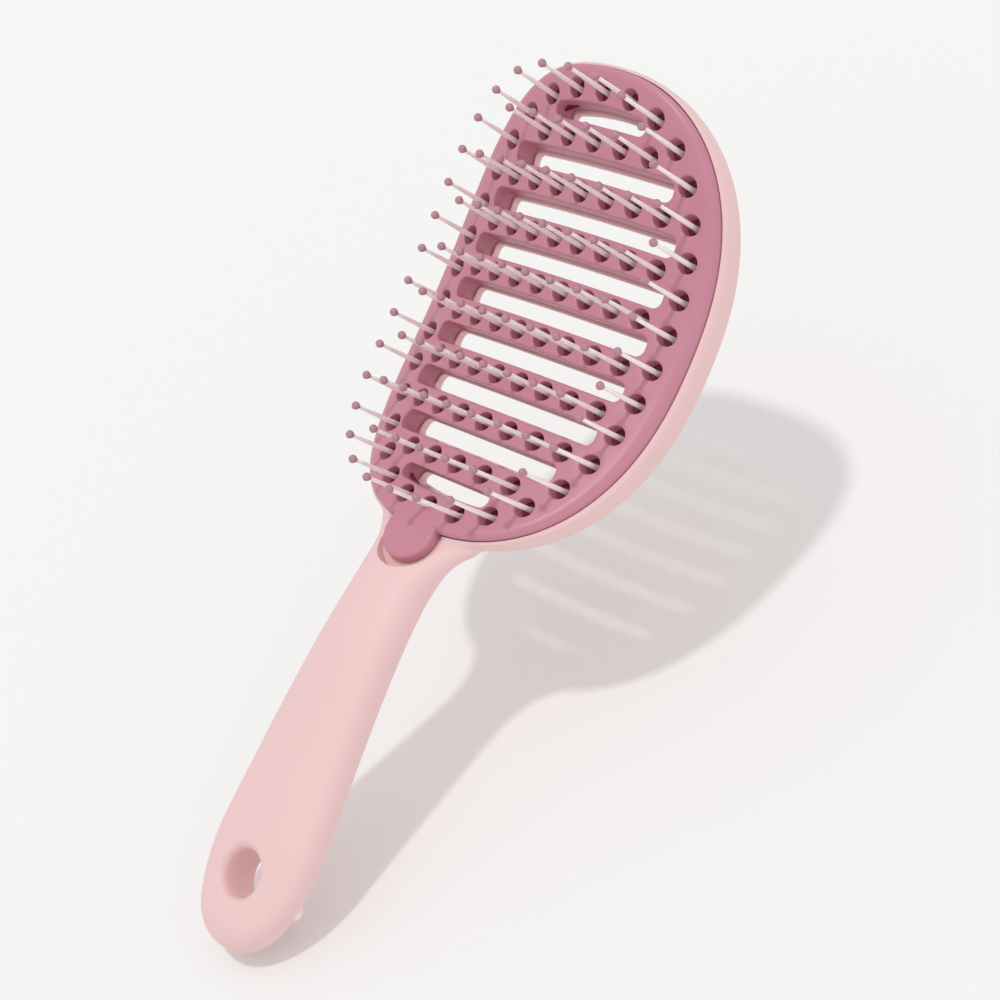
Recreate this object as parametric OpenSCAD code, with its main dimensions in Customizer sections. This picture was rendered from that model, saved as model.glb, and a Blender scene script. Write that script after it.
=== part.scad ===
// Vented paddle brush: a moulded handle and frame, with a snap-in pad of plate, pin bed, pins and tips.
// Millimetres. The brush lies on its back: +Z along the pins, +Y towards the tip of the head, X across it.
// The origin is at the middle of the overall length and width, on the surface that the brush lies on.

/* [Head] */
// Half the width of the bristle plate
plate_half_w = 43.8; // [40:0.1:50]
// Half the length of the bristle plate
plate_half_l = 61.8; // [58:0.1:70]
// Rim of the frame that shows round the plate
rim_w = 1.3; // [0.9:0.1:4]
// Squareness of the head's outline, 2 for an ellipse
outline_n = 2.6; // [2:0.1:3.5]
// Radius of the hollow that the face follows along the brush
long_r = 158; // [120:1:300]
// Radius of the crown that the face follows across the brush
cross_r = 143; // [110:1:300]
// Height of the middle of the face above the surface that the brush lies on
face_h = 19.2; // [17:0.1:30]

/* [Layers, as depths below the face] */
// Underside of the plate's skin
skin_d = 3.5; // [2.5:0.1:4]
// Underside of the pin bed
bed_d = 4.3; // [4:0.1:5]
// Underside of the plate's skirts
skirt_d = 7.0; // [6.5:0.1:8]
// Top of the frame's back bars
bars_d = 7.15; // [6.7:0.05:8.2]
// Back of the frame's bars
bars_back_d = 9.4; // [9:0.1:11]
// Top of the frame's rim
rim_d = 2.3; // [1:0.1:4]
// Back of the frame's ring
ring_back_d = 11.8; // [10:0.1:14]

/* [Slots] */
// Pitch of the vent slots and of the bars between them
slot_pitch = 12.5; // [12:0.1:14]
// Width of a slot
slot_w = 5.6; // [5:0.1:6]
// Radius of a slot's corners
slot_corner_r = 2.2; // [1:0.1:2.5]
// Width by which the frame's slots are narrower on each side than the plate's
slot_ledge = 0.6; // [0:0.1:0.7]
// Wall of the skirt round each slot
skirt_w = 1.0; // [0.8:0.1:1.2]

/* [Pins] */
// Radius of the well that each pin stands in
well_r = 2.55; // [2:0.05:2.7]
// Radius of the pin where it leaves the bed
pin_root_r = 0.68; // [0.5:0.01:0.8]
// Radius of the pin where it enters its tip
pin_top_r = 0.46; // [0.3:0.01:0.5]
// Height of the middle of the tip above the face
tip_h = 14.7; // [10:0.1:20]
// Radius of the ball tip
tip_r = 1.15; // [0.8:0.05:1.4]
// Radius of the bead that holds the pin under the bed
foot_r = 1.15; // [1.1:0.05:1.2]
// Radius of the hole in the bed that the pin leans in
bed_hole_r = 1.0; // [0.9:0.05:1.05]
// Number of pins round the rim
rim_pins = 34; // [34:4:34]
// Half the width and half the length of the line that the rim pins follow
rim_line = [37.2, 56];

/* [Handle] */
// Distance from the middle of the head to the end of the handle
handle_end = 176; // [160:1:190]
// Half the width of the neck
neck_half_w = 10.1; // [8:0.1:13]
// Half the width of the handle at its widest
grip_half_w = 16.6; // [12:0.1:18]
// Half the thickness of the handle
grip_half_t = 6.7; // [5:0.1:9]
// Radius of the hang hole
hang_r = 6.0; // [3:0.1:8]
// Depth of the hang hole's sloped mouths
hang_round = 1.4; // [0.5:0.1:2]
// Distance of the hang hole from the end of the handle
hang_from_end = 19.3; // [14:0.1:30]

/* [Thumb tab] */
// Radius of the tab
tab_r = 7.8; // [6:0.1:9]
// Distance of the tab's middle from the middle of the head
tab_y = 63.3; // [62:0.1:66]
// Thickness of the tab
tab_t = 3.2; // [2:0.1:4]
// Tilt of the tab
tab_tilt = 14; // [5:1:25]

/* [Hidden] */
$fn = 48;
row_count = 8;
row_pins = [8, 8, 7, 5];
row_pitch = [8.24, 8.12, 8.55, 9.05];
slot_half_l = [33.2, 32.7, 31.5, 27];
end_slot = [47.7, 52.6, 15.3];
end_slot_r = 34;
outline_points = 64;
handle_points = 28;
frame_half = [plate_half_w + rim_w + 0.2, plate_half_l + rim_w - 0.1];
pocket_gap = 0.25;
bed_half = [plate_half_w - 1.2, plate_half_l - 1.2];
relief_half = [plate_half_w - 5.3, plate_half_l - 4.8];
head_y = (handle_end - frame_half[1]) / 2;
ring_mid_d = (rim_d + ring_back_d) / 2;
ring_half_t = (ring_back_d - rim_d) / 2;
neck_y = 62;
neck_fade = 20.4;
grip_rise = 8.7;
flare_w = 12;
flare_y = 60;
flare_fade = 5;
grip_wide_y = 148;
hang_y = handle_end - hang_from_end;
root_inset = 1.3;
tab_gap = 1.1;
foot_d = (bed_d + bars_d) / 2 + 0.02;
arc_steps = 360;
pink = [0.95, 0.81, 0.81];
rose = [0.80, 0.52, 0.60];
deep_rose = [0.45, 0.20, 0.28];
pale_nylon = [0.98, 0.88, 0.90];
mauve = [0.66, 0.50, 0.54];

// Height of the face over a point of the head: hollow along Y, crowned along X
function face_z(x, y) = face_h + long_r
    - sqrt(pow(long_r + cross_r - sqrt(cross_r * cross_r - x * x), 2) - y * y);
function signed_pow(v, e) = sign(v) * pow(abs(v), e);
// Point of a rounded outline with the given half sizes, at a parameter angle
function outline(half, t) = [
    half[0] * signed_pow(cos(t), 2 / outline_n),
    half[1] * signed_pow(sin(t), 2 / outline_n)];
// Half the width of such an outline at a distance along the brush
function outline_w(half, y) = half[0] * pow(max(0, 1 - pow(abs(y) / half[1], outline_n)), 1 / outline_n);

// Inner rings that carry a crowned surface from its middle out to its edge
function inner_rings(half, d) = [for (k = [0.15, 0.4, 0.6, 0.78, 0.92]) [half * k, d]];
function edge_rings(half, steps) = [for (s = steps) [[half[0] - s[0], half[1] - s[0]], s[1]]];
function reversed(list) = [for (i = [len(list) - 1 : -1 : 0]) list[i]];

// Closed body between two crowned surfaces; steps are [inset, depth] round the edge from top to back
module arched_disc(half, top_d, back_d, steps) {
    rings = concat(inner_rings(half, top_d), edge_rings(half, steps), reversed(inner_rings(half, back_d)));
    n = outline_points;
    points = concat(
        [for (r = rings, i = [0 : n - 1])
            let (p = outline(r[0], i * 360 / n)) [p[0], p[1], face_z(p[0], p[1]) - r[1]]],
        [[0, 0, face_z(0, 0) - top_d], [0, 0, face_z(0, 0) - back_d]]);
    top = len(rings) * n;
    faces = concat(
        [for (i = [0 : n - 1]) [top, (i + 1) % n, i]],
        [for (r = [0 : len(rings) - 2], i = [0 : n - 1])
            let (a = r * n + i, b = r * n + (i + 1) % n) each [[a, b, b + n], [a, b + n, a + n]]],
        [for (i = [0 : n - 1]) [top + 1, top - n + i, top - n + (i + 1) % n]]);
    polyhedron(points, faces, convexity = 4);
}

// One vent slot, drawn flat; grow widens it for the skirt round it
module slot_shape(k, grow) {
    if (abs(k) < 4) {
        half_l = slot_half_l[abs(k)] + grow;
        translate([0, k * slot_pitch]) soft_rectangle(half_l, slot_w / 2 + grow, slot_corner_r + grow);
    } else {
        intersection() {
            translate([0, sign(k) * (end_slot[0] + end_slot[1]) / 2])
                soft_rectangle(end_slot[2] + grow, (end_slot[1] - end_slot[0]) / 2 + grow, slot_corner_r + grow);
            translate([0, sign(k) * (end_slot[1] - end_slot_r)]) circle(end_slot_r + grow, $fn = 96);
        }
    }
}
module soft_rectangle(half_l, half_w, r) {
    square([2 * half_l, 2 * (half_w - r)], center = true);
    square([2 * (half_l - r), 2 * half_w], center = true);
    for (x = [-1, 1], y = [-1, 1]) translate([x * (half_l - r), y * (half_w - r)]) circle(r, $fn = 20);
}
module slot_columns(grow) {
    for (k = [-4 : 4]) linear_extrude(60) slot_shape(k, grow);
}

// Pins of the bars: a row's number runs from 1 nearest the tip
function row_y(row) = (row_count / 2 + 0.5 - row) * slot_pitch;
function row_class(row) = floor(abs(row_count / 2 + 0.5 - row));
function row_points(row) =
    let (c = row_class(row), n = row_pins[c])
    [for (i = [0 : n - 1]) [(i - (n - 1) / 2) * row_pitch[c], row_y(row)]];

// Pins of the rim: equal steps along the rim line, from its top point
function line_point(i) = outline(rim_line, 90 - i * 90 / arc_steps);
arc = [for (i = 0, s = 0; i <= arc_steps; s = s + norm(line_point(i + 1) - line_point(i)), i = i + 1) s];
function arc_index(s, i = 0) = (i >= arc_steps || arc[i] >= s) ? i : arc_index(s, i + 1);
function arc_point(s) =
    let (i = max(1, arc_index(s)), f = (s - arc[i - 1]) / (arc[i] - arc[i - 1]))
    line_point(i - 1) * (1 - f) + line_point(i) * f;
rim_step = arc[arc_steps] * 4 / rim_pins;
// The rim's pins stand in mirrored pairs, and the pair next to the end takes the end's single pin along
function pair_points(j) =
    let (top = j <= rim_pins / 4, m = top ? j : rim_pins / 2 - j,
         p = arc_point(m * rim_step), y = top ? p[1] : -p[1])
    concat([[-p[0], y], [p[0], y]], m == 1 ? [[0, sign(y) * rim_line[1]]] : []);

pair_count = rim_pins / 2 - 1;
// Every lean group: the rim pairs from the tip down, then the bar rows
groups = [for (j = [1 : pair_count]) pair_points(j), for (r = [1 : row_count]) row_points(r)];
function pin_base(p) = [p[0], p[1], face_z(p[0], p[1])];

// Handle: centre line, half width and half thickness at a distance u from the middle of the head
function grip_z(u) = face_h + long_r - sqrt(long_r * long_r - neck_y * neck_y) - ring_mid_d
    + grip_rise * (1 - exp(-(u - neck_y) / neck_fade));
function head_mid_z(u) = face_z(0, u) - ring_mid_d;
function mid_z(u) = u < neck_y ? head_mid_z(u) : grip_z(u);
function taper(u) = neck_half_w + (grip_half_w - neck_half_w) * max(0, (u - 78) / (grip_wide_y - 78));
function end_round(u) = u < grip_wide_y ? 1
    : pow(max(0, 1 - pow((u - grip_wide_y) / (handle_end - grip_wide_y), 2.2)), 1 / 2.2);
function grip_w(u) = min(
    min(taper(u), grip_half_w) * end_round(u) + flare_w * exp(-(u - flare_y) / flare_fade),
    u < neck_y ? outline_w(frame_half, u) - root_inset : grip_half_w);
function grip_t(u) =
    let (f = min(1, max(0, (u - 63) / 15)), s = f * f * (3 - 2 * f),
         e = max(0, (u - (handle_end - 9)) / 9))
    (ring_half_t - 0.6 + (grip_half_t - ring_half_t + 0.6) * s) * sqrt(max(0, 1 - e * e * 0.97));
function section_point(u, t) =
    let (e = 2 / 2.7, x = grip_w(u) * signed_pow(cos(t), e))
    [x, -u, mid_z(u) - x * x / (2 * cross_r) * max(0, 1 - (u - neck_y) / 40) + grip_t(u) * signed_pow(sin(t), e)];
stations = concat([56, 58, 60, 61, 62, 63, 64, 65.5, 67, 69, 71, 73.5, 76, 79, 83, 88, 94, 101, 109, 118, 127, 136,
    145, 151, 156, 160, 164], [for (k = [4 : -1 : 1]) handle_end - 0.5 * k * k + 0.2]);

module handle_loft() {
    n = handle_points;
    points = concat(
        [for (u = stations, i = [0 : n - 1]) section_point(u, i * 360 / n)],
        [[0, -stations[0], mid_z(stations[0])], [0, -handle_end, mid_z(handle_end)]]);
    last = (len(stations) - 1) * n;
    hub = len(stations) * n;
    faces = concat(
        [for (i = [0 : n - 1]) [hub, i, (i + 1) % n]],
        [for (s = [0 : len(stations) - 2], i = [0 : n - 1])
            let (a = s * n + i, b = s * n + (i + 1) % n) each [[a, b + n, b], [a, a + n, b + n]]],
        [for (i = [0 : n - 1]) [hub + 1, last + (i + 1) % n, last + i]]);
    polyhedron(points, faces, convexity = 4);
}

// Bore of the hang hole, with sloped mouths
module hang_hole() {
    low = mid_z(hang_y) - grip_t(hang_y);
    high = mid_z(hang_y) + grip_t(hang_y);
    flare_r = hang_r + hang_round + 4;
    translate([0, -hang_y, 0]) rotate_extrude() polygon([
        [0, low - 4], [flare_r, low - 4], [hang_r, low + hang_round],
        [hang_r, high - hang_round], [flare_r, high + 4], [0, high + 4]]);
}

// Tilted disc of the thumb tab, and the hollow in the handle that takes it
module tab_disc(r, low, high) {
    translate([0, -tab_y, face_h + 12.95]) rotate([-tab_tilt, 0, 0])
        translate([0, 0, low]) cylinder(h = high - low, r = r, $fn = 64);
}

// Head, neck and handle with the pad's pocket, the slots, the hollow for the tab and the hang hole
module handle_frame() color(pink) difference() {
    union() {
        arched_disc(frame_half, rim_d, ring_back_d,
            [[0.7, rim_d], [0.1, rim_d + 0.5], [0, rim_d + 1.4], [0, ring_back_d - 4], [0.5, ring_back_d - 2.3],
             [1.6, ring_back_d - 0.9], [3.4, ring_back_d]]);
        handle_loft();
    }
    arched_disc([plate_half_w + pocket_gap, plate_half_l + pocket_gap], -25, bars_d, [[0, -25], [0, bars_d]]);
    arched_disc(relief_half, bars_back_d, 30, [[1, bars_back_d], [0.3, bars_back_d + 0.6], [0, 30]]);
    slot_columns(-slot_ledge);
    tab_disc(tab_r + tab_gap, -tab_t - 0.25, 14);
    hang_hole();
}

module bristle_plate() color(rose) difference() {
    union() {
        arched_disc([plate_half_w, plate_half_l], 0, skirt_d,
            [[1.9, 0.05], [0.8, 0.45], [0.2, 1.1], [0, 1.9], [0, skirt_d]]);
        intersection() {
            tab_disc(tab_r, -tab_t, 0);
            arched_disc([60, 80], 0, 20, [[0, 0], [0, 20]]);
        }
    }
    for (g = groups, p = g) translate([p[0], p[1], face_z(p[0], p[1]) - skin_d - 2]) cylinder(h = 20, r = well_r);
    slot_columns(0);
    difference() {
        arched_disc(bed_half, skin_d, 40, [[0, skin_d], [0, 40]]);
        slot_columns(skirt_w);
    }
}

module pin_bed() color(deep_rose) difference() {
    arched_disc(bed_half, skin_d, bed_d, [[0, skin_d], [0, bed_d]]);
    slot_columns(skirt_w);
    for (g = groups, p = g) translate([p[0], p[1], face_z(p[0], p[1]) - 12]) cylinder(h = 20, r = bed_hole_r);
}

// One nylon pin: bead under the bed, tapered shaft, plain end inside the tip
module pin() {
    shaft_top = tip_h + tip_r * 0.3;
    translate([0, 0, -foot_d]) sphere(foot_r);
    translate([0, 0, -foot_d]) cylinder(h = foot_d + 1, r = pin_root_r);
    translate([0, 0, 1]) cylinder(h = tip_h - 2.2, r1 = pin_root_r, r2 = pin_top_r);
    translate([0, 0, tip_h - 1.2]) cylinder(h = shaft_top - tip_h + 1.2, r = pin_top_r);
}
module tip() difference() {
    translate([0, 0, tip_h]) sphere(tip_r);
    translate([0, 0, tip_h - 3]) cylinder(h = 3 + tip_r * 0.3, r = pin_top_r);
}
module pins(g) color(pale_nylon) for (p = groups[g]) translate(pin_base(p)) pin();
module tips(g) color(mauve) for (p = groups[g]) translate(pin_base(p)) tip();

translate([0, head_y, 0]) handle_frame();
translate([0, head_y, 0]) bristle_plate();
translate([0, head_y, 0]) pin_bed();
translate([0, head_y, 0]) pins(0);  // pins_rim_pair_01
translate([0, head_y, 0]) pins(1);  // pins_rim_pair_02
translate([0, head_y, 0]) pins(2);  // pins_rim_pair_03
translate([0, head_y, 0]) pins(3);  // pins_rim_pair_04
translate([0, head_y, 0]) pins(4);  // pins_rim_pair_05
translate([0, head_y, 0]) pins(5);  // pins_rim_pair_06
translate([0, head_y, 0]) pins(6);  // pins_rim_pair_07
translate([0, head_y, 0]) pins(7);  // pins_rim_pair_08
translate([0, head_y, 0]) pins(8);  // pins_rim_pair_09
translate([0, head_y, 0]) pins(9);  // pins_rim_pair_10
translate([0, head_y, 0]) pins(10);  // pins_rim_pair_11
translate([0, head_y, 0]) pins(11);  // pins_rim_pair_12
translate([0, head_y, 0]) pins(12);  // pins_rim_pair_13
translate([0, head_y, 0]) pins(13);  // pins_rim_pair_14
translate([0, head_y, 0]) pins(14);  // pins_rim_pair_15
translate([0, head_y, 0]) pins(15);  // pins_rim_pair_16
translate([0, head_y, 0]) pins(16);  // pins_bar_row_1
translate([0, head_y, 0]) pins(17);  // pins_bar_row_2
translate([0, head_y, 0]) pins(18);  // pins_bar_row_3
translate([0, head_y, 0]) pins(19);  // pins_bar_row_4
translate([0, head_y, 0]) pins(20);  // pins_bar_row_5
translate([0, head_y, 0]) pins(21);  // pins_bar_row_6
translate([0, head_y, 0]) pins(22);  // pins_bar_row_7
translate([0, head_y, 0]) pins(23);  // pins_bar_row_8
translate([0, head_y, 0]) tips(0);  // tips_rim_pair_01
translate([0, head_y, 0]) tips(1);  // tips_rim_pair_02
translate([0, head_y, 0]) tips(2);  // tips_rim_pair_03
translate([0, head_y, 0]) tips(3);  // tips_rim_pair_04
translate([0, head_y, 0]) tips(4);  // tips_rim_pair_05
translate([0, head_y, 0]) tips(5);  // tips_rim_pair_06
translate([0, head_y, 0]) tips(6);  // tips_rim_pair_07
translate([0, head_y, 0]) tips(7);  // tips_rim_pair_08
translate([0, head_y, 0]) tips(8);  // tips_rim_pair_09
translate([0, head_y, 0]) tips(9);  // tips_rim_pair_10
translate([0, head_y, 0]) tips(10);  // tips_rim_pair_11
translate([0, head_y, 0]) tips(11);  // tips_rim_pair_12
translate([0, head_y, 0]) tips(12);  // tips_rim_pair_13
translate([0, head_y, 0]) tips(13);  // tips_rim_pair_14
translate([0, head_y, 0]) tips(14);  // tips_rim_pair_15
translate([0, head_y, 0]) tips(15);  // tips_rim_pair_16
translate([0, head_y, 0]) tips(16);  // tips_bar_row_1
translate([0, head_y, 0]) tips(17);  // tips_bar_row_2
translate([0, head_y, 0]) tips(18);  // tips_bar_row_3
translate([0, head_y, 0]) tips(19);  // tips_bar_row_4
translate([0, head_y, 0]) tips(20);  // tips_bar_row_5
translate([0, head_y, 0]) tips(21);  // tips_bar_row_6
translate([0, head_y, 0]) tips(22);  // tips_bar_row_7
translate([0, head_y, 0]) tips(23);  // tips_bar_row_8
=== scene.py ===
import math
import bmesh
import bpy
from mathutils import Matrix, Vector


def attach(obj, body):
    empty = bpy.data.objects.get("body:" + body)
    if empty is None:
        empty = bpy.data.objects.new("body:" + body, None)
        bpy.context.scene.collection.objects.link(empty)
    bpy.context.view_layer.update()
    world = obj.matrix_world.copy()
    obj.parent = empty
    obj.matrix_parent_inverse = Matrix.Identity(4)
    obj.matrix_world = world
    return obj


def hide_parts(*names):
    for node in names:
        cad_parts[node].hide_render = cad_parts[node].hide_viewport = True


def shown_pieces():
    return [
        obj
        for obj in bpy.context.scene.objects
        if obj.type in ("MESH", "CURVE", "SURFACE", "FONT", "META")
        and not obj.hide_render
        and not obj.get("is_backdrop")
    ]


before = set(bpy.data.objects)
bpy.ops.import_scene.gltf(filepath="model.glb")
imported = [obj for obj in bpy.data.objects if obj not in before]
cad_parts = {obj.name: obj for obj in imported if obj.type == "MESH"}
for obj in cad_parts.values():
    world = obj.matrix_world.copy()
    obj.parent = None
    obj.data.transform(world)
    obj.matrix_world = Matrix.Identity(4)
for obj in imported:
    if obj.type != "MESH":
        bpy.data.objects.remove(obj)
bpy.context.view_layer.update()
print("frame loaded:", len(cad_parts), "nodes")

mm = 0.001

# The head's curved face. Lengths are in mm, and y runs from the middle of the head to its tip.
head = {
    "middle": 56.5,      # middle of the head, from the middle of the brush
    "faceHeight": 19.2,  # middle of the face above the surface under the brush
    "hollowRadius": 158, # curve of the face along the brush
    "crownRadius": 143,  # curve of the face across it
    "squareness": 2.6,   # 2 is an ellipse
}


def faceZ(x, y):
    across = head["crownRadius"] - math.sqrt(head["crownRadius"] ** 2 - x * x)
    return head["faceHeight"] + head["hollowRadius"] - math.sqrt((head["hollowRadius"] + across) ** 2 - y * y)


def placed(x, y, z):
    return Vector((x * mm, (y + head["middle"]) * mm, z * mm))


def signedPower(v, e):
    return math.copysign(abs(v) ** e, v)


def outlinePoint(half, turn):
    e = 2 / head["squareness"]
    return half[0] * signedPower(math.cos(turn), e), half[1] * signedPower(math.sin(turn), e)


def evenPoints(points, count):
    # the closed line through points, walked in equal steps
    walk = [0]
    for a, b in zip(points, points[1:] + points[:1]):
        walk.append(walk[-1] + math.dist(a, b))
    ring, found, i = points + points[:1], [], 0
    for k in range(count):
        s = walk[-1] * k / count
        while walk[i + 1] < s:
            i += 1
        f = (s - walk[i]) / (walk[i + 1] - walk[i])
        found.append(tuple(p + (q - p) * f for p, q in zip(ring[i], ring[i + 1])))
    return found


def outline(half, count):
    return evenPoints([outlinePoint(half, math.tau * k / 1440) for k in range(1440)], count)


def grown(points, d):
    # a closed line moved out by d, or in where d is below zero
    moved = []
    for before, here, after in zip(points[-1:] + points[:-1], points, points[1:] + points[:1]):
        tx, ty = after[0] - before[0], after[1] - before[1]
        size = math.hypot(tx, ty)
        moved.append((here[0] + d * ty / size, here[1] - d * tx / size))
    return moved


def addLoop(bm, points):
    # a closed line of edges, as its vertices in order
    verts = [bm.verts.new(p) for p in points]
    for pair in zip(verts, verts[1:] + verts[:1]):
        bm.edges.new(pair)
    return verts


def loopEdges(bm, verts):
    return [bm.edges.get(pair) for pair in zip(verts, verts[1:] + verts[:1])]


def carryLoop(bm, verts, rings):
    # extrudes a closed line through rings of points, one after the other, and returns the last one
    for ring in rings:
        made = bmesh.ops.extrude_edge_only(bm, edges=loopEdges(bm, verts))["geom"]
        fresh = {g for g in made if isinstance(g, bmesh.types.BMVert)}
        verts = [next(e.other_vert(v) for e in v.link_edges if e.other_vert(v) in fresh) for v in verts]
        for v, p in zip(verts, ring):
            v.co = p
    return verts


def finishMesh(bm, name, sharpAngle=None):
    mesh = bpy.data.meshes.new(name)
    bm.to_mesh(mesh)
    bm.free()
    mesh.shade_smooth()
    if sharpAngle:
        mesh.set_sharp_from_angle(angle=math.radians(sharpAngle))
    obj = bpy.data.objects.new(name, mesh)
    bpy.context.scene.collection.objects.link(obj)
    return obj


def bakedMesh(obj):
    # the mesh with its modifiers applied
    bpy.context.view_layer.update()
    return bpy.data.meshes.new_from_object(obj.evaluated_get(bpy.context.evaluated_depsgraph_get()))


# Pins: 34 on a line round the rim, and 8 rows on the bars between the slots
pins = {
    "rimCount": 34,
    "rimLine": (37.2, 56.0),
    "rowCounts": (8, 8, 7, 5),            # from the middle of the head outwards
    "rowPitches": (8.24, 8.12, 8.55, 9.05),
    "barPitch": 12.5,
    "rootRadius": 0.7,
    "topRadius": 0.47,
    "tipHeight": 14.7,                    # middle of the tip above the face
    "tipRadius": 1.12,
    "sides": 14,
}


def rimPair(number):
    quarter = [outlinePoint(pins["rimLine"], math.radians(90 - k / 4)) for k in range(361)]
    walk = [0]
    for a, b in zip(quarter, quarter[1:]):
        walk.append(walk[-1] + math.dist(a, b))
    fromEnd = number if number <= 8 else 17 - number
    s = walk[-1] * 4 / pins["rimCount"] * fromEnd
    i = max(1, next(k for k, w in enumerate(walk) if w >= s))
    f = (s - walk[i - 1]) / (walk[i] - walk[i - 1])
    x = quarter[i - 1][0] * (1 - f) + quarter[i][0] * f
    y = quarter[i - 1][1] * (1 - f) + quarter[i][1] * f
    side = 1 if number <= 8 else -1
    pair = [(-x, side * y), (x, side * y)]
    if fromEnd == 1:
        pair.append((0, side * pins["rimLine"][1]))  # the single pin at the end goes with this pair
    return pair


def barRow(number):
    y = 4.5 - number
    kind = int(abs(y))
    count = pins["rowCounts"][kind]
    return [((k - (count - 1) / 2) * pins["rowPitches"][kind], y * pins["barPitch"]) for k in range(count)]


pinGroups = {"rim_pair_%02d" % n: rimPair(n) for n in range(1, 17)}
pinGroups.update({"bar_row_%d" % n: barRow(n) for n in range(1, 9)})
wellPoints = [p for group in pinGroups.values() for p in group]
print("pins placed:", len(wellPoints))

# Vent slots between the bars
slots = {
    "halfLengths": (33.2, 32.7, 31.5, 27.0),  # from the middle of the head outwards
    "halfWidth": 2.8,
    "cornerRadius": 2.2,
    "endNear": 47.7,                          # the end slots have one straight side and one bowed side
    "endFar": 52.6,
    "endHalfLength": 15.3,
    "endRadius": 2.0,
    "pointStep": 1.2,                         # spacing of the points on a slot's outline
}


def softRectangle(halfLength, halfWidth, radius):
    points = []
    for quarter, (sx, sy) in enumerate(((1, -1), (1, 1), (-1, 1), (-1, -1))):
        for step in range(7):
            a = math.radians(-90 + 90 * quarter + 15 * step)
            points.append((sx * (halfLength - radius) + radius * math.cos(a),
                           sy * (halfWidth - radius) + radius * math.sin(a)))
    dense = []
    for a, b in zip(points, points[1:] + points[:1]):
        parts = max(1, int(math.dist(a, b) / slots["pointStep"]))
        dense += [(a[0] + (b[0] - a[0]) * k / parts, a[1] + (b[1] - a[1]) * k / parts)
                  for k in range(parts)]
    return dense


def slotOutline(k):
    if abs(k) < 4:
        flat = softRectangle(slots["halfLengths"][abs(k)], slots["halfWidth"], slots["cornerRadius"])
        return [(x, y + k * pins["barPitch"]) for x, y in flat]
    near, far, r = slots["endNear"], slots["endFar"], slots["endRadius"]
    reach, rise = slots["endHalfLength"] - r, far - near - 2 * r
    bow = (reach * reach + rise * rise) / (2 * rise)  # of the line that the bowed side's round ends follow
    flat = softRectangle(slots["endHalfLength"], r, r)
    raised = [(x, near + r + y + (rise - bow + math.sqrt(bow * bow - min(abs(x), reach) ** 2) if y > 0 else 0))
              for x, y in flat]
    if k > 0:
        return raised
    return [(x, -y) for x, y in reversed(raised)]


slotOutlines = [slotOutline(k) for k in range(-4, 5)]

# Bristle plate: a rose moulding with rounded slots, wells and shoulder
plate = {
    "halfWidth": 43.8,
    "halfLength": 61.8,
    "shoulder": 2.4,      # width of the rounded edge
    "shoulderDrop": 1.9,
    "skin": 3.5,          # depth of the skin's underside below the face
    "skirt": 7.0,         # depth of the skirts' lower edges
    "skirtWall": 0.85,
    "edgeWall": 1.2,
    "wellRadius": 2.55,
    "wellSides": 24,
    "mouth": 0.4,         # rounding of the slots' and wells' mouths
    "gridStep": 2.6,      # the flat plate is cut this finely before it is bent
    "gridOffset": 0.37,   # share of a step that keeps the cuts off the pins' rows
    "outlineSides": 216,
}


def mouthRings(points, bottom):
    # rings down a rounded mouth, to the bottom of its wall
    turns = [math.radians(a) for a in (22.5, 45, 67.5, 90)]
    steps = [(plate["mouth"] * (1 - math.sin(a)), plate["mouth"] * (1 - math.cos(a))) for a in turns]
    rings = [[(x, y, -down) for x, y in grown(points, out)] for out, down in steps]
    rings.append([(x, y, -bottom) for x, y in points])
    return rings


def bendToFace(bm):
    # turns heights above a flat plate into heights above the curved face
    for v in bm.verts:
        v.co = placed(v.co.x, v.co.y, faceZ(v.co.x, v.co.y) + v.co.z)


def cutGrid(bm, step, halfWidth, halfLength):
    for axis, reach in ((0, halfWidth), (1, halfLength)):
        count = int(reach / step)
        for k in range(-count, count + 1):
            spot, normal = Vector(), Vector()
            spot[axis], normal[axis] = (k + plate["gridOffset"]) * step, 1
            bmesh.ops.bisect_plane(bm, geom=bm.verts[:] + bm.edges[:] + bm.faces[:], dist=1e-5,
                                   plane_co=spot, plane_no=normal)


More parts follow.
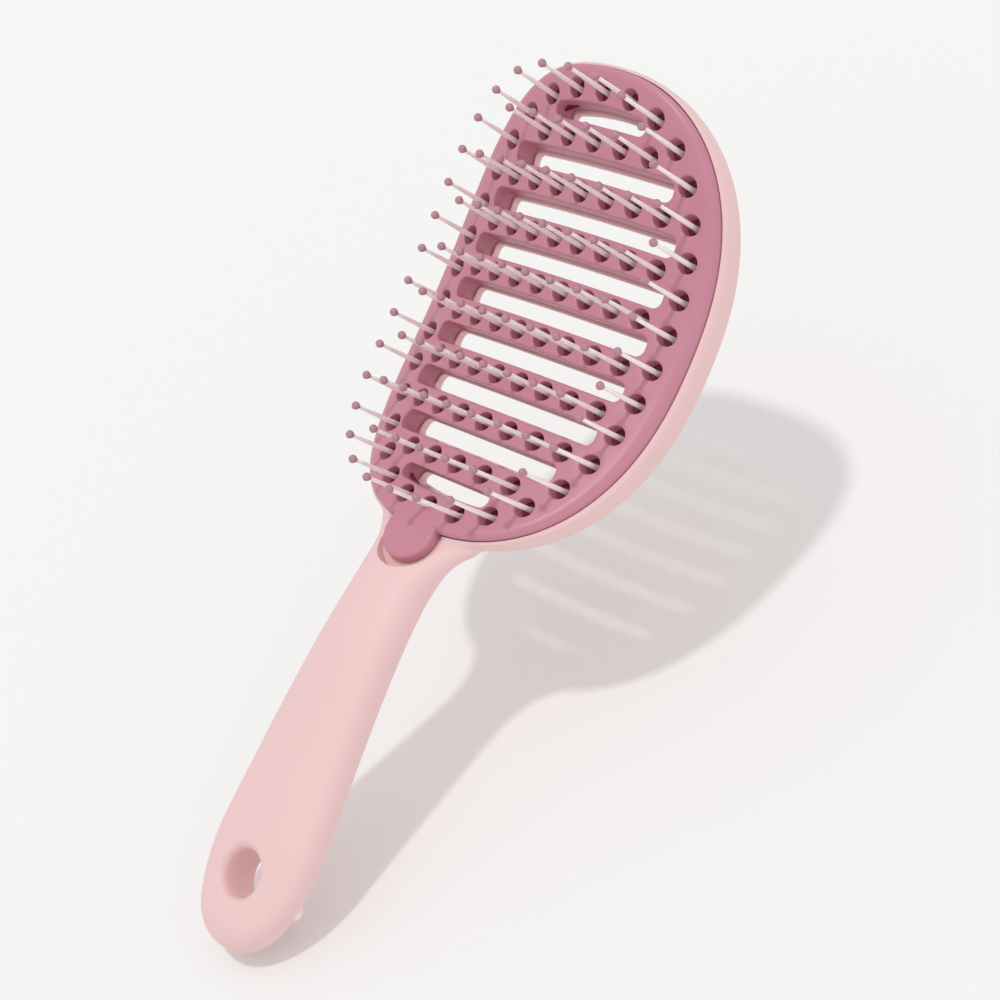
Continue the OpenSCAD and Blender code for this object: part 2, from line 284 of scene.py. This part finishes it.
def makePlate():
    # drawn flat with its holes, given its walls and skirts, and then bent to the face
    bm = bmesh.new()
    size = (plate["halfWidth"], plate["halfLength"])
    edge = outline(size, plate["outlineSides"])
    sides = plate["wellSides"]
    wells = [[(x + plate["wellRadius"] * math.cos(math.tau * k / sides),
               y + plate["wellRadius"] * math.sin(math.tau * k / sides)) for k in range(sides)]
             for x, y in wellPoints]
    top = addLoop(bm, [(x, y, 0) for x, y in grown(edge, -plate["shoulder"])])
    mouths = [(hole, plate["skin"]) for hole in wells] + [(hole, plate["skirt"]) for hole in slotOutlines]
    holes = [addLoop(bm, [(x, y, 0) for x, y in grown(hole, plate["mouth"])]) for hole, _ in mouths]
    bmesh.ops.triangle_fill(bm, use_beauty=True, use_dissolve=False, normal=(0, 0, 1),
                            edges=[e for loop in [top] + holes for e in loopEdges(bm, loop)])
    bottoms = [carryLoop(bm, loop, mouthRings(*mouth)) for loop, mouth in zip(holes, mouths)]
    shoulder = [[(x, y, -plate["shoulderDrop"] * (1 - math.cos(a)))
                 for x, y in grown(edge, -plate["shoulder"] * (1 - math.sin(a)))]
                for a in [math.radians(11.25 * k) for k in range(1, 9)]]
    inner = grown(edge, -plate["edgeWall"])
    shoulder += [[(x, y, -plate["skirt"]) for x, y in edge], [(x, y, -plate["skirt"]) for x, y in inner],
                 [(x, y, -plate["skin"]) for x, y in inner]]
    rim = carryLoop(bm, top, shoulder)
    under = [rim] + bottoms[:len(wells)]
    for loop, hole in zip(bottoms[len(wells):], slotOutlines):
        wide = grown(hole, plate["skirtWall"])
        under.append(carryLoop(bm, loop, [[(x, y, -plate["skirt"]) for x, y in wide],
                                          [(x, y, -plate["skin"]) for x, y in wide]]))
    bmesh.ops.triangle_fill(bm, use_beauty=True, use_dissolve=False, normal=(0, 0, -1),
                            edges=[e for loop in under for e in loopEdges(bm, loop)])
    cutGrid(bm, plate["gridStep"], *size)
    bendToFace(bm)
    bmesh.ops.recalc_face_normals(bm, faces=bm.faces)
    return finishMesh(bm, "bristlePlate", 42)


# Thumb tab of the plate: a round disc that tilts up at the neck
tab = {
    "radius": 7.8,
    "middle": -63.3,
    "planeHeight": 12.95,  # above the middle of the face
    "thickness": 3.2,
    "tilt": 14,
    "edge": 0.9,           # rounding of the upper edge
    "lowEdge": 0.3,
    "capRings": 6,
    "capRingWidth": 1.1,
    "tuckFrom": 57.5,      # from here to the head the tab dives under the plate's face
    "tuckLength": 3,
    "tuckDepth": 2.2,
    "hollowGap": 1.1,      # the handle's hollow is this much wider than the tab
    "hollowShift": 1.0,    # and this much nearer to the handle's end
    "hollowDepth": 12.0,
    "hollowFlare": 0.16,   # how much it widens for each mm of height
    "hollowFloor": 0.25,   # air under the tab
    "hollowStop": -55.2,   # it stops short of the vent slot next to it
}


def tabPlace():
    return (Matrix.Translation(placed(0, tab["middle"], head["faceHeight"] + tab["planeHeight"]))
            @ Matrix.Rotation(math.radians(-tab["tilt"]), 4, "X"))


def makeTab():
    bm = bmesh.new()
    bmesh.ops.create_cone(bm, cap_ends=True, segments=72, radius1=tab["radius"] * mm,
                          radius2=tab["radius"] * mm, depth=tab["thickness"] * mm,
                          matrix=Matrix.Translation((0, 0, -tab["thickness"] / 2 * mm)))
    rim = [e for e in bm.edges if all(abs(v.co.z) < 1e-6 for v in e.verts) and len(e.link_faces) == 2]
    bmesh.ops.bevel(bm, geom=rim, offset=tab["edge"] * mm, segments=6, profile=0.5, affect="EDGES",
                    material=-1)
    low = [e for e in bm.edges if all(v.co.z < -0.99 * tab["thickness"] * mm for v in e.verts)]
    bmesh.ops.bevel(bm, geom=low, offset=tab["lowEdge"] * mm, segments=2, profile=0.5, affect="EDGES",
                    material=-1)
    cap = max(bm.faces, key=lambda f: f.calc_area() if f.normal.z > 0.9 else 0)
    for _ in range(tab["capRings"]):
        bmesh.ops.inset_region(bm, faces=[cap], thickness=tab["capRingWidth"] * mm)
    bmesh.ops.transform(bm, matrix=tabPlace(), verts=bm.verts)
    for v in bm.verts:  # the side that runs under the plate's face stays below it
        y = v.co.y / mm - head["middle"]
        tuck = tab["tuckDepth"] * max(0, (y + tab["tuckFrom"]) / tab["tuckLength"]) ** 2
        v.co.z = min(v.co.z, (faceZ(v.co.x / mm, y) + 0.02 - tuck) * mm)
    bmesh.ops.recalc_face_normals(bm, faces=bm.faces)
    return finishMesh(bm, "thumbTab", 42)


# Frame: the head's ring and bars with the neck and the handle, one moulding
body = {
    "halfWidth": 45.3,
    "halfLength": 63.0,
    "rimDrop": 2.3,            # depths below the face
    "barTop": 7.15,
    "barBack": 9.4,
    "ringBack": 11.8,
    "pocketGap": 0.25,         # air between the plate and the frame's pocket
    "pocketReach": 25,         # the pocket's cutter reaches this far above the face
    "reliefInset": (5.3, 4.8), # width of the ring behind the bars, across and along
    "reliefReach": 30,
    "slotLedge": 0.6,          # the frame's slots are this much narrower on each side than the plate's
    "slotCut": (-5, 60),       # lowest and highest point of the slots' cutter
    "outlineSides": 168,
    "voxel": 0.67,
    "softening": 10,           # rounds of smoothing
}
ringMiddle = (body["rimDrop"] + body["ringBack"]) / 2
ringHalfThickness = (body["ringBack"] - body["rimDrop"]) / 2

# The handle, along u from the middle of the head to the handle's end
handle = {
    "neck": 62,
    "neckHalfWidth": 10.1,
    "end": 176,
    "widest": 148,
    "taperFrom": 78,
    "gripHalfWidth": 16.6,
    "gripHalfThickness": 6.7,
    "squareness": 2.7,    # of its section
    "endRoundness": 2.2,
    "noseLength": 9,
    "noseFlat": 0.97,     # share of the thickness that the nose takes off
    "rise": 8.7,          # the handle bends up by this much beyond the neck
    "riseFade": 20.4,
    "flare": 12,          # it widens into the ring
    "flareFrom": 60,
    "flareFade": 5,
    "rootInset": 1.3,     # inside the ring it stays this far from the ring's edge
    "thinnerNeck": 0.6,
    "thickenFrom": 63,
    "thickenLength": 15,
    "archFade": 40,       # the head's arch dies out over this length
    "hangRadius": 6.0,
    "hangFromEnd": 19.3,
    "hangMouth": 2.6,     # rounding of the hang hole's mouths
}


def archedBody(half, topDrop, backDrop, steps):
    # closed body between two curved faces; steps are (inset, drop) round its edge from top to back
    bm = bmesh.new()
    shares = [0.04, 0.12, 0.2, 0.3, 0.4, 0.5, 0.6, 0.68, 0.76, 0.83, 0.89, 0.94]
    rings = [((half[0] * s, half[1] * s), topDrop) for s in shares]
    rings += [((half[0] - inset, half[1] - inset), drop) for inset, drop in steps]
    rings += [((half[0] * s, half[1] * s), backDrop) for s in reversed(shares)]
    loops = [[placed(x, y, faceZ(x, y) - drop) for x, y in outline(size, body["outlineSides"])]
             for size, drop in rings]
    first = addLoop(bm, loops[0])
    last = carryLoop(bm, first, loops[1:])
    bmesh.ops.contextual_create(bm, geom=loopEdges(bm, first))
    bmesh.ops.contextual_create(bm, geom=loopEdges(bm, last))
    bmesh.ops.recalc_face_normals(bm, faces=bm.faces)
    return bm


def handleMiddle(u):
    if u < handle["neck"]:
        return faceZ(0, u) - ringMiddle
    start = faceZ(0, handle["neck"]) - ringMiddle
    return start + handle["rise"] * (1 - math.exp(-(u - handle["neck"]) / handle["riseFade"]))


def handleHalfWidth(u):
    grip, widest = handle["gripHalfWidth"], handle["widest"]
    start, power = handle["taperFrom"], handle["endRoundness"]
    taper = handle["neckHalfWidth"] + (grip - handle["neckHalfWidth"]) * max(0, (u - start) / (widest - start))
    rounding = 1.0
    if u > widest:
        rounding = max(0, 1 - ((u - widest) / (handle["end"] - widest)) ** power) ** (1 / power)
    flare = handle["flare"] * math.exp(-(u - handle["flareFrom"]) / handle["flareFade"])
    width = min(taper, grip) * rounding + flare
    if u < handle["neck"]:
        e = head["squareness"]
        edge = body["halfWidth"] * max(0, 1 - (u / body["halfLength"]) ** e) ** (1 / e)
        return min(width, edge - handle["rootInset"])
    return min(width, grip)


def handleHalfThickness(u):
    f = min(1, max(0, (u - handle["thickenFrom"]) / handle["thickenLength"]))
    blend = f * f * (3 - 2 * f)
    nose = max(0, (u - (handle["end"] - handle["noseLength"])) / handle["noseLength"])
    start = ringHalfThickness - handle["thinnerNeck"]
    full = start + (handle["gripHalfThickness"] - start) * blend
    return full * math.sqrt(max(0, 1 - nose * nose * handle["noseFlat"]))


def handleSection(u, sides=72):
    wide, thick, points = handleHalfWidth(u), handleHalfThickness(u), []
    e = 2 / handle["squareness"]
    for k in range(sides):
        a = math.tau * k / sides
        x = wide * signedPower(math.cos(a), e)
        sag = x * x / (2 * head["crownRadius"]) * max(0, 1 - (u - handle["neck"]) / handle["archFade"])
        points.append(placed(x, -u, handleMiddle(u) - sag + thick * signedPower(math.sin(a), e)))
    return points


def makeHandle():
    # sections close together at the neck and at the rounded end
    bm = bmesh.new()
    stations = [56 + k for k in range(24)] + [80 + 2.5 * k for k in range(34)]
    stations += [handle["end"] - 0.06 * k * k - 0.1 for k in range(13, -1, -1)]
    loops = [handleSection(u) for u in stations]
    first = addLoop(bm, loops[0])
    last = carryLoop(bm, first, loops[1:])
    bmesh.ops.contextual_create(bm, geom=loopEdges(bm, first))
    bmesh.ops.contextual_create(bm, geom=loopEdges(bm, last))
    bmesh.ops.recalc_face_normals(bm, faces=bm.faces)
    return finishMesh(bm, "handleShape")


def makeHangCutter():
    # bore with rounded mouths, spun round its axis
    u = handle["end"] - handle["hangFromEnd"]
    low, high = handleMiddle(u) - handleHalfThickness(u), handleMiddle(u) + handleHalfThickness(u)
    r, m = handle["hangRadius"], handle["hangMouth"]
    flange, clear = r + m + 4, 6  # the cutter's wide ends stay outside the handle
    turns = [math.radians(15 * k) for k in range(7)]
    profile = [(0, low - clear), (flange, low - clear), (flange, low - 1)]
    profile += [(r + m * (1 - math.sin(a)), low + m * (1 - math.cos(a)) - 0.05) for a in turns]
    profile += [(r + m * (1 - math.cos(a)), high - m + m * math.sin(a) + 0.05) for a in turns]
    profile += [(flange, high + 1), (flange, high + clear), (0, high + clear)]
    bm = bmesh.new()
    verts = [bm.verts.new(placed(x, -u, z)) for x, z in profile]
    edges = [bm.edges.new(pair) for pair in zip(verts, verts[1:])]
    bmesh.ops.spin(bm, geom=verts + edges, cent=placed(0, -u, 0), axis=(0, 0, 1), angle=math.tau, steps=64,
                   use_merge=True)
    bmesh.ops.remove_doubles(bm, verts=bm.verts, dist=1e-6)
    bmesh.ops.recalc_face_normals(bm, faces=bm.faces)
    return finishMesh(bm, "hangCutter")


def makeSlotCutter():
    bm = bmesh.new()
    bottom, top = body["slotCut"]
    for slot in slotOutlines:
        points = grown(slot, -body["slotLedge"])
        low = addLoop(bm, [placed(x, y, bottom) for x, y in points])
        high = carryLoop(bm, low, [[placed(x, y, top) for x, y in points]])
        bmesh.ops.contextual_create(bm, geom=loopEdges(bm, low))
        bmesh.ops.contextual_create(bm, geom=loopEdges(bm, high))
    bmesh.ops.recalc_face_normals(bm, faces=bm.faces)
    return finishMesh(bm, "slotCutter")


def makeTabCutter():
    # a shallow cone under the tab, flattened on the head's side
    bm = bmesh.new()
    radius, depth = tab["radius"] + tab["hollowGap"], tab["hollowDepth"]
    lift = depth / 2 - tab["thickness"] - tab["hollowFloor"]
    bmesh.ops.create_cone(bm, cap_ends=True, segments=72, radius1=radius * mm,
                          radius2=(radius + depth * tab["hollowFlare"]) * mm, depth=depth * mm,
                          matrix=tabPlace() @ Matrix.Translation((0, -tab["hollowShift"] * mm, lift * mm)))
    for v in bm.verts:
        v.co.y = min(v.co.y, placed(0, tab["hollowStop"], 0).y)
    return finishMesh(bm, "tabCutter")


def makeFrame():
    # ring and handle grow together first, and the pocket, slots and holes are cut into the even skin
    rim, back, gap = body["rimDrop"], body["ringBack"], body["pocketGap"]
    above, behind = body["pocketReach"], body["reliefReach"]
    across, along = body["reliefInset"]
    ring = finishMesh(archedBody((body["halfWidth"], body["halfLength"]), rim, back, [
        (1.0, rim), (0.45, rim + 0.12), (0.15, rim + 0.45), (0, rim + 1.1),
        (0, back - 4), (0.2, back - 2.8), (0.8, back - 1.6), (1.8, back - 0.7), (3.4, back)]), "ringShape")
    pocket = finishMesh(archedBody(
        (plate["halfWidth"] + gap, plate["halfLength"] + gap), -above, body["barTop"],
        [(0, -above), (0, body["barTop"])]), "pocketCutter")
    relief = finishMesh(archedBody(
        (plate["halfWidth"] - across, plate["halfLength"] - along), body["barBack"], behind,
        [(1, body["barBack"]), (0.3, body["barBack"] + 0.6), (0, behind)]), "reliefCutter")
    blend = shaped(ring, [("UNION", makeHandle())], body["voxel"])
    piece = shaped(blend, [("DIFFERENCE", pocket), ("DIFFERENCE", relief), ("DIFFERENCE", makeSlotCutter()),
                           ("DIFFERENCE", makeTabCutter()), ("DIFFERENCE", makeHangCutter())])
    piece.name = piece.data.name = "handleFrame"
    piece.data.set_sharp_from_angle(angle=math.radians(38))
    return piece


def shaped(base, cuts, voxel=None):
    # joins or cuts a shape, and with a voxel size gives it one even skin with soft joins
    for operation, tool in cuts:
        step = base.modifiers.new(operation, "BOOLEAN")
        step.operation, step.solver, step.object = operation, "MANIFOLD", tool
    if voxel:
        remesh = base.modifiers.new("evenSkin", "REMESH")
        remesh.mode, remesh.voxel_size, remesh.use_smooth_shade = "VOXEL", voxel * mm, True
        smooth = base.modifiers.new("softJoins", "SMOOTH")
        smooth.factor, smooth.iterations = 0.5, body["softening"]
    mesh = bakedMesh(base)
    mesh.shade_smooth()
    piece = bpy.data.objects.new("shape", mesh)
    bpy.context.scene.collection.objects.link(piece)
    for obj in [base] + [tool for _, tool in cuts]:
        bpy.data.objects.remove(obj)
    return piece


def spunShape(bm, profile, place, sides):
    # a profile of (radius, height) spun into a closed shape at a place
    verts = [bm.verts.new(place + Vector((r * mm, 0, z * mm))) for r, z in profile]
    edges = [bm.edges.new(pair) for pair in zip(verts, verts[1:])]
    bmesh.ops.spin(bm, geom=verts + edges, cent=place, axis=(0, 0, 1), angle=math.tau, steps=sides,
                   use_merge=True)


def pinProfile():
    # radius and height above the face: foot bead, neck, collar on the bed, tapering shaft
    root, top, high = pins["rootRadius"], pins["topRadius"], pins["tipHeight"]
    return [(0, -6.85), (0.7, -6.7), (1.1, -6.1), (1.12, -5.5), (0.85, -4.95), (root, -4.7), (root, -4.2),
            (0.93, -3.75), (0.9, -3.45), (root + 0.06, -2.7), (root, -1.5), (root, 1), (0.62, 6), (0.54, 10),
            (top, high - 0.9), (0, high - 0.6)]


def tipProfile():
    # radius and height above the face, with the top a little drawn out by the drop
    r, high = pins["tipRadius"], pins["tipHeight"]
    return [(0, high - 1.28), (0.47, high - 1.22), (0.68, high - 0.95), (0.93, high - 0.5), (r, high),
            (r * 0.955, high + 0.36), (r * 0.78, high + 0.72), (r * 0.45, high + 0.98), (0, high + 1.08)]


def makeRow(kind, group, profile, sides):
    bm = bmesh.new()
    for x, y in pinGroups[group]:
        spunShape(bm, profile, placed(x, y, faceZ(x, y)), sides)
    bmesh.ops.remove_doubles(bm, verts=bm.verts, dist=1e-6)
    bmesh.ops.recalc_face_normals(bm, faces=bm.faces)
    return finishMesh(bm, kind + "_" + group, 60)


def linear(hexColour):
    values = [int(hexColour[k:k + 2], 16) / 255 for k in (1, 3, 5)]
    return tuple(v / 12.92 if v <= 0.04045 else ((v + 0.055) / 1.055) ** 2.4 for v in values) + (1.0,)


def addNode(tree, kind, settings=None, links=None):
    node = tree.nodes.new(kind)
    for name, value in (settings or {}).items():
        if isinstance(name, int) or name in node.inputs:
            node.inputs[name].default_value = value
        else:
            setattr(node, name, value)
    for name, source in (links or {}).items():
        tree.links.new(source, node.inputs[name])
    return node


def makeMaterial(name, light, dark, patch, grain, grainDepth, roughness, shader):
    # light and dark are the two ends of the colour's slow drift; patch and grain are sizes in mm
    material = bpy.data.materials.new(name)
    material.use_nodes = True
    tree = material.node_tree
    tree.nodes.clear()
    where = addNode(tree, "ShaderNodeTexCoord").outputs["Object"]
    drift = addNode(tree, "ShaderNodeTexNoise", {"Scale": 1 / (patch * mm), "Detail": 3.0}, {"Vector": where})
    colour = addNode(tree, "ShaderNodeMix", {"data_type": "RGBA", 6: linear(light), 7: linear(dark)},
                     {0: drift.outputs["Fac"]})
    fine = addNode(tree, "ShaderNodeTexNoise", {"Scale": 1 / (grain * mm), "Detail": 2.0}, {"Vector": where})
    gloss = addNode(tree, "ShaderNodeMapRange", {"To Min": roughness[0], "To Max": roughness[1]},
                    {"Value": fine.outputs["Fac"]})
    bump = addNode(tree, "ShaderNodeBump", {"Strength": 1.0, "Distance": grainDepth * mm},
                   {"Height": fine.outputs["Fac"]})
    surface = addNode(tree, "ShaderNodeBsdfPrincipled", shader,
                      {"Base Color": colour.outputs[2], "Roughness": gloss.outputs["Result"],
                       "Normal": bump.outputs["Normal"]})
    addNode(tree, "ShaderNodeOutputMaterial", None, {"Surface": surface.outputs["BSDF"]})
    return material


# Moulded polypropylene with a soft-touch coat: matte, with a faint bloom at the edges
softTouch = makeMaterial("softTouchPolypropylene", "#F0CCCB", "#EBC4C4", 40, 0.45, 0.012, (0.46, 0.56),
                         {"IOR": 1.49, "Sheen Weight": 0.12, "Sheen Roughness": 0.45})
# Moulded satin ABS, dyed through: an even satin with soft, broad highlights
satinAbs = makeMaterial("satinAbs", "#CB8899", "#C27E91", 30, 0.4, 0.01, (0.33, 0.42), {"IOR": 1.53})
# Thermoplastic elastomer sheet: dull and dark
bedElastomer = makeMaterial("bedElastomer", "#7A1F36", "#64182B", 12, 0.5, 0.02, (0.6, 0.7), {"IOR": 1.5})
# Extruded nylon: smooth, pale and a little see-through
pinNylon = makeMaterial("pinNylon", "#FFF6F7", "#FDEEF0", 6, 0.6, 0.003, (0.2, 0.3),
                        {"IOR": 1.53, "Subsurface Weight": 0.3, "Subsurface Scale": 0.0008})
# Dipped resin beads: glossy and a little see-through
dippedResin = makeMaterial("dippedResin", "#BE8E9B", "#B3818F", 3, 0.6, 0.003, (0.18, 0.26),
                           {"IOR": 1.5, "Subsurface Weight": 0.2, "Subsurface Scale": 0.0008})


def addPiece(piece, bodyName, slotName, material, *nodes):
    piece.data.materials.clear()
    piece.data.materials.append(material)
    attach(piece, bodyName)
    if nodes:
        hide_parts(*nodes)


addPiece(makeFrame(), "handle", "handle", softTouch, "handle_frame")
print("frame made")
addPiece(makePlate(), "pad", "plate", satinAbs, "bristle_plate")
addPiece(makeTab(), "pad", "plate", satinAbs)
print("plate and thumb tab made")
for group in pinGroups:
    addPiece(makeRow("pins", group, pinProfile(), pins["sides"]), group, "pin", pinNylon, "pins_" + group)
    addPiece(makeRow("tips", group, tipProfile(), 16), group, "tip", dippedResin, "tips_" + group)
print("pins and tips made")

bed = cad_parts["pin_bed"]
bed.data.materials.clear()
bed.data.materials.append(bedElastomer)

# Stage: the camera, a key and a fill light, soft light all round, and a tilted floor under the handle's end
stage = {
    "camera": (0.39537, 0.00502, 0.4594),
    "right": (0.6965, 0.3900, -0.6023),
    "up": (-0.2906, 0.9208, 0.2602),
    "back": (0.6561, -0.0062, 0.7547),
    "lens": 84.6,
    "keyFrom": (0.06, 0.44, 1.0),
    "keyStrength": 0.75,
    "keyAngle": 3.5,
    "fillFrom": (0.85, -0.25, 0.35),
    "fillStrength": 0.14,
    "fillAngle": 40,
    "skyStrength": 0.78,
    "backdrop": 0.91,
    "floorTilt": 34,
    "floorPoint": (0, -0.1195, 0.0262),  # where the floor meets the handle's end
    "floorHalf": 1.5,
    "floorLip": 0.06,                    # the floor runs on this far past that point
    "floorFade": (-0.14, -0.122),        # and fades out over this stretch
}


def makeStage():
    scene = bpy.context.scene
    camera = bpy.data.objects.new("camera", bpy.data.cameras.new("camera"))
    camera.data.lens, camera.data.sensor_width = stage["lens"], 36
    turn = Matrix((stage["right"], stage["up"], stage["back"])).transposed()
    camera.matrix_world = Matrix.Translation(stage["camera"]) @ turn.to_4x4()
    scene.collection.objects.link(camera)
    scene.camera = camera
    for name in ("key", "fill"):
        lamp = bpy.data.objects.new(name, bpy.data.lights.new(name, "SUN"))
        lamp.data.energy = stage[name + "Strength"]
        lamp.data.angle = math.radians(stage[name + "Angle"])
        lamp.data.use_shadow = name == "key"  # the fill stands for light thrown back by the backdrop
        lamp.rotation_mode = "QUATERNION"
        lamp.rotation_quaternion = Vector(stage[name + "From"]).to_track_quat("Z", "Y")
        scene.collection.objects.link(lamp)
    world = bpy.data.worlds.new("studio")
    scene.world = world
    world.use_nodes = True
    world.node_tree.nodes.clear()
    seen = addNode(world.node_tree, "ShaderNodeLightPath").outputs["Is Camera Ray"]
    glow = addNode(world.node_tree, "ShaderNodeMapRange",
                   {"To Min": stage["skyStrength"], "To Max": stage["backdrop"]}, {"Value": seen})
    sky = addNode(world.node_tree, "ShaderNodeBackground", {"Color": (1, 1, 0.995, 1)},
                  {"Strength": glow.outputs["Result"]})
    addNode(world.node_tree, "ShaderNodeOutputWorld", None, {"Surface": sky.outputs["Background"]})
    half = stage["floorHalf"]
    bm = bmesh.new()
    bmesh.ops.create_grid(bm, x_segments=4, y_segments=4, size=half)
    bmesh.ops.transform(bm, verts=bm.verts, matrix=Matrix.Translation(stage["floorPoint"])
                        @ Matrix.Rotation(math.radians(-stage["floorTilt"]), 4, "X")
                        @ Matrix.Translation((0, half - stage["floorLip"], 0)))
    floor = finishMesh(bm, "floor")
    paper = bpy.data.materials.new("matteBackdropPaper")
    paper.use_nodes = True
    tree = paper.node_tree
    tree.nodes.clear()
    across = addNode(tree, "ShaderNodeSeparateXYZ", None,
                     {"Vector": addNode(tree, "ShaderNodeTexCoord").outputs["Object"]})
    fadeFrom, fadeTo = stage["floorFade"]
    fade = addNode(tree, "ShaderNodeMapRange", {"From Min": fadeFrom, "From Max": fadeTo},
                   {"Value": across.outputs["Y"]})
    white = addNode(tree, "ShaderNodeBsdfDiffuse", {"Color": (0.9, 0.9, 0.895, 1)})
    clear = addNode(tree, "ShaderNodeBsdfTransparent")
    mixed = addNode(tree, "ShaderNodeMixShader", None,
                    {0: fade.outputs["Result"], 1: clear.outputs["BSDF"], 2: white.outputs["BSDF"]})
    addNode(tree, "ShaderNodeOutputMaterial", None, {"Surface": mixed.outputs["Shader"]})
    floor.data.materials.append(paper)
    floor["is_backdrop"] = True
    scene.view_settings.view_transform = "Standard"


makeStage()
print("stage made")

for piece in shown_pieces():
    if piece.type == "MESH":
        piece.data.calc_loop_triangles()
        if len(piece.data.loop_triangles) > 20000:
            print(piece.name, len(piece.data.loop_triangles), "triangles")
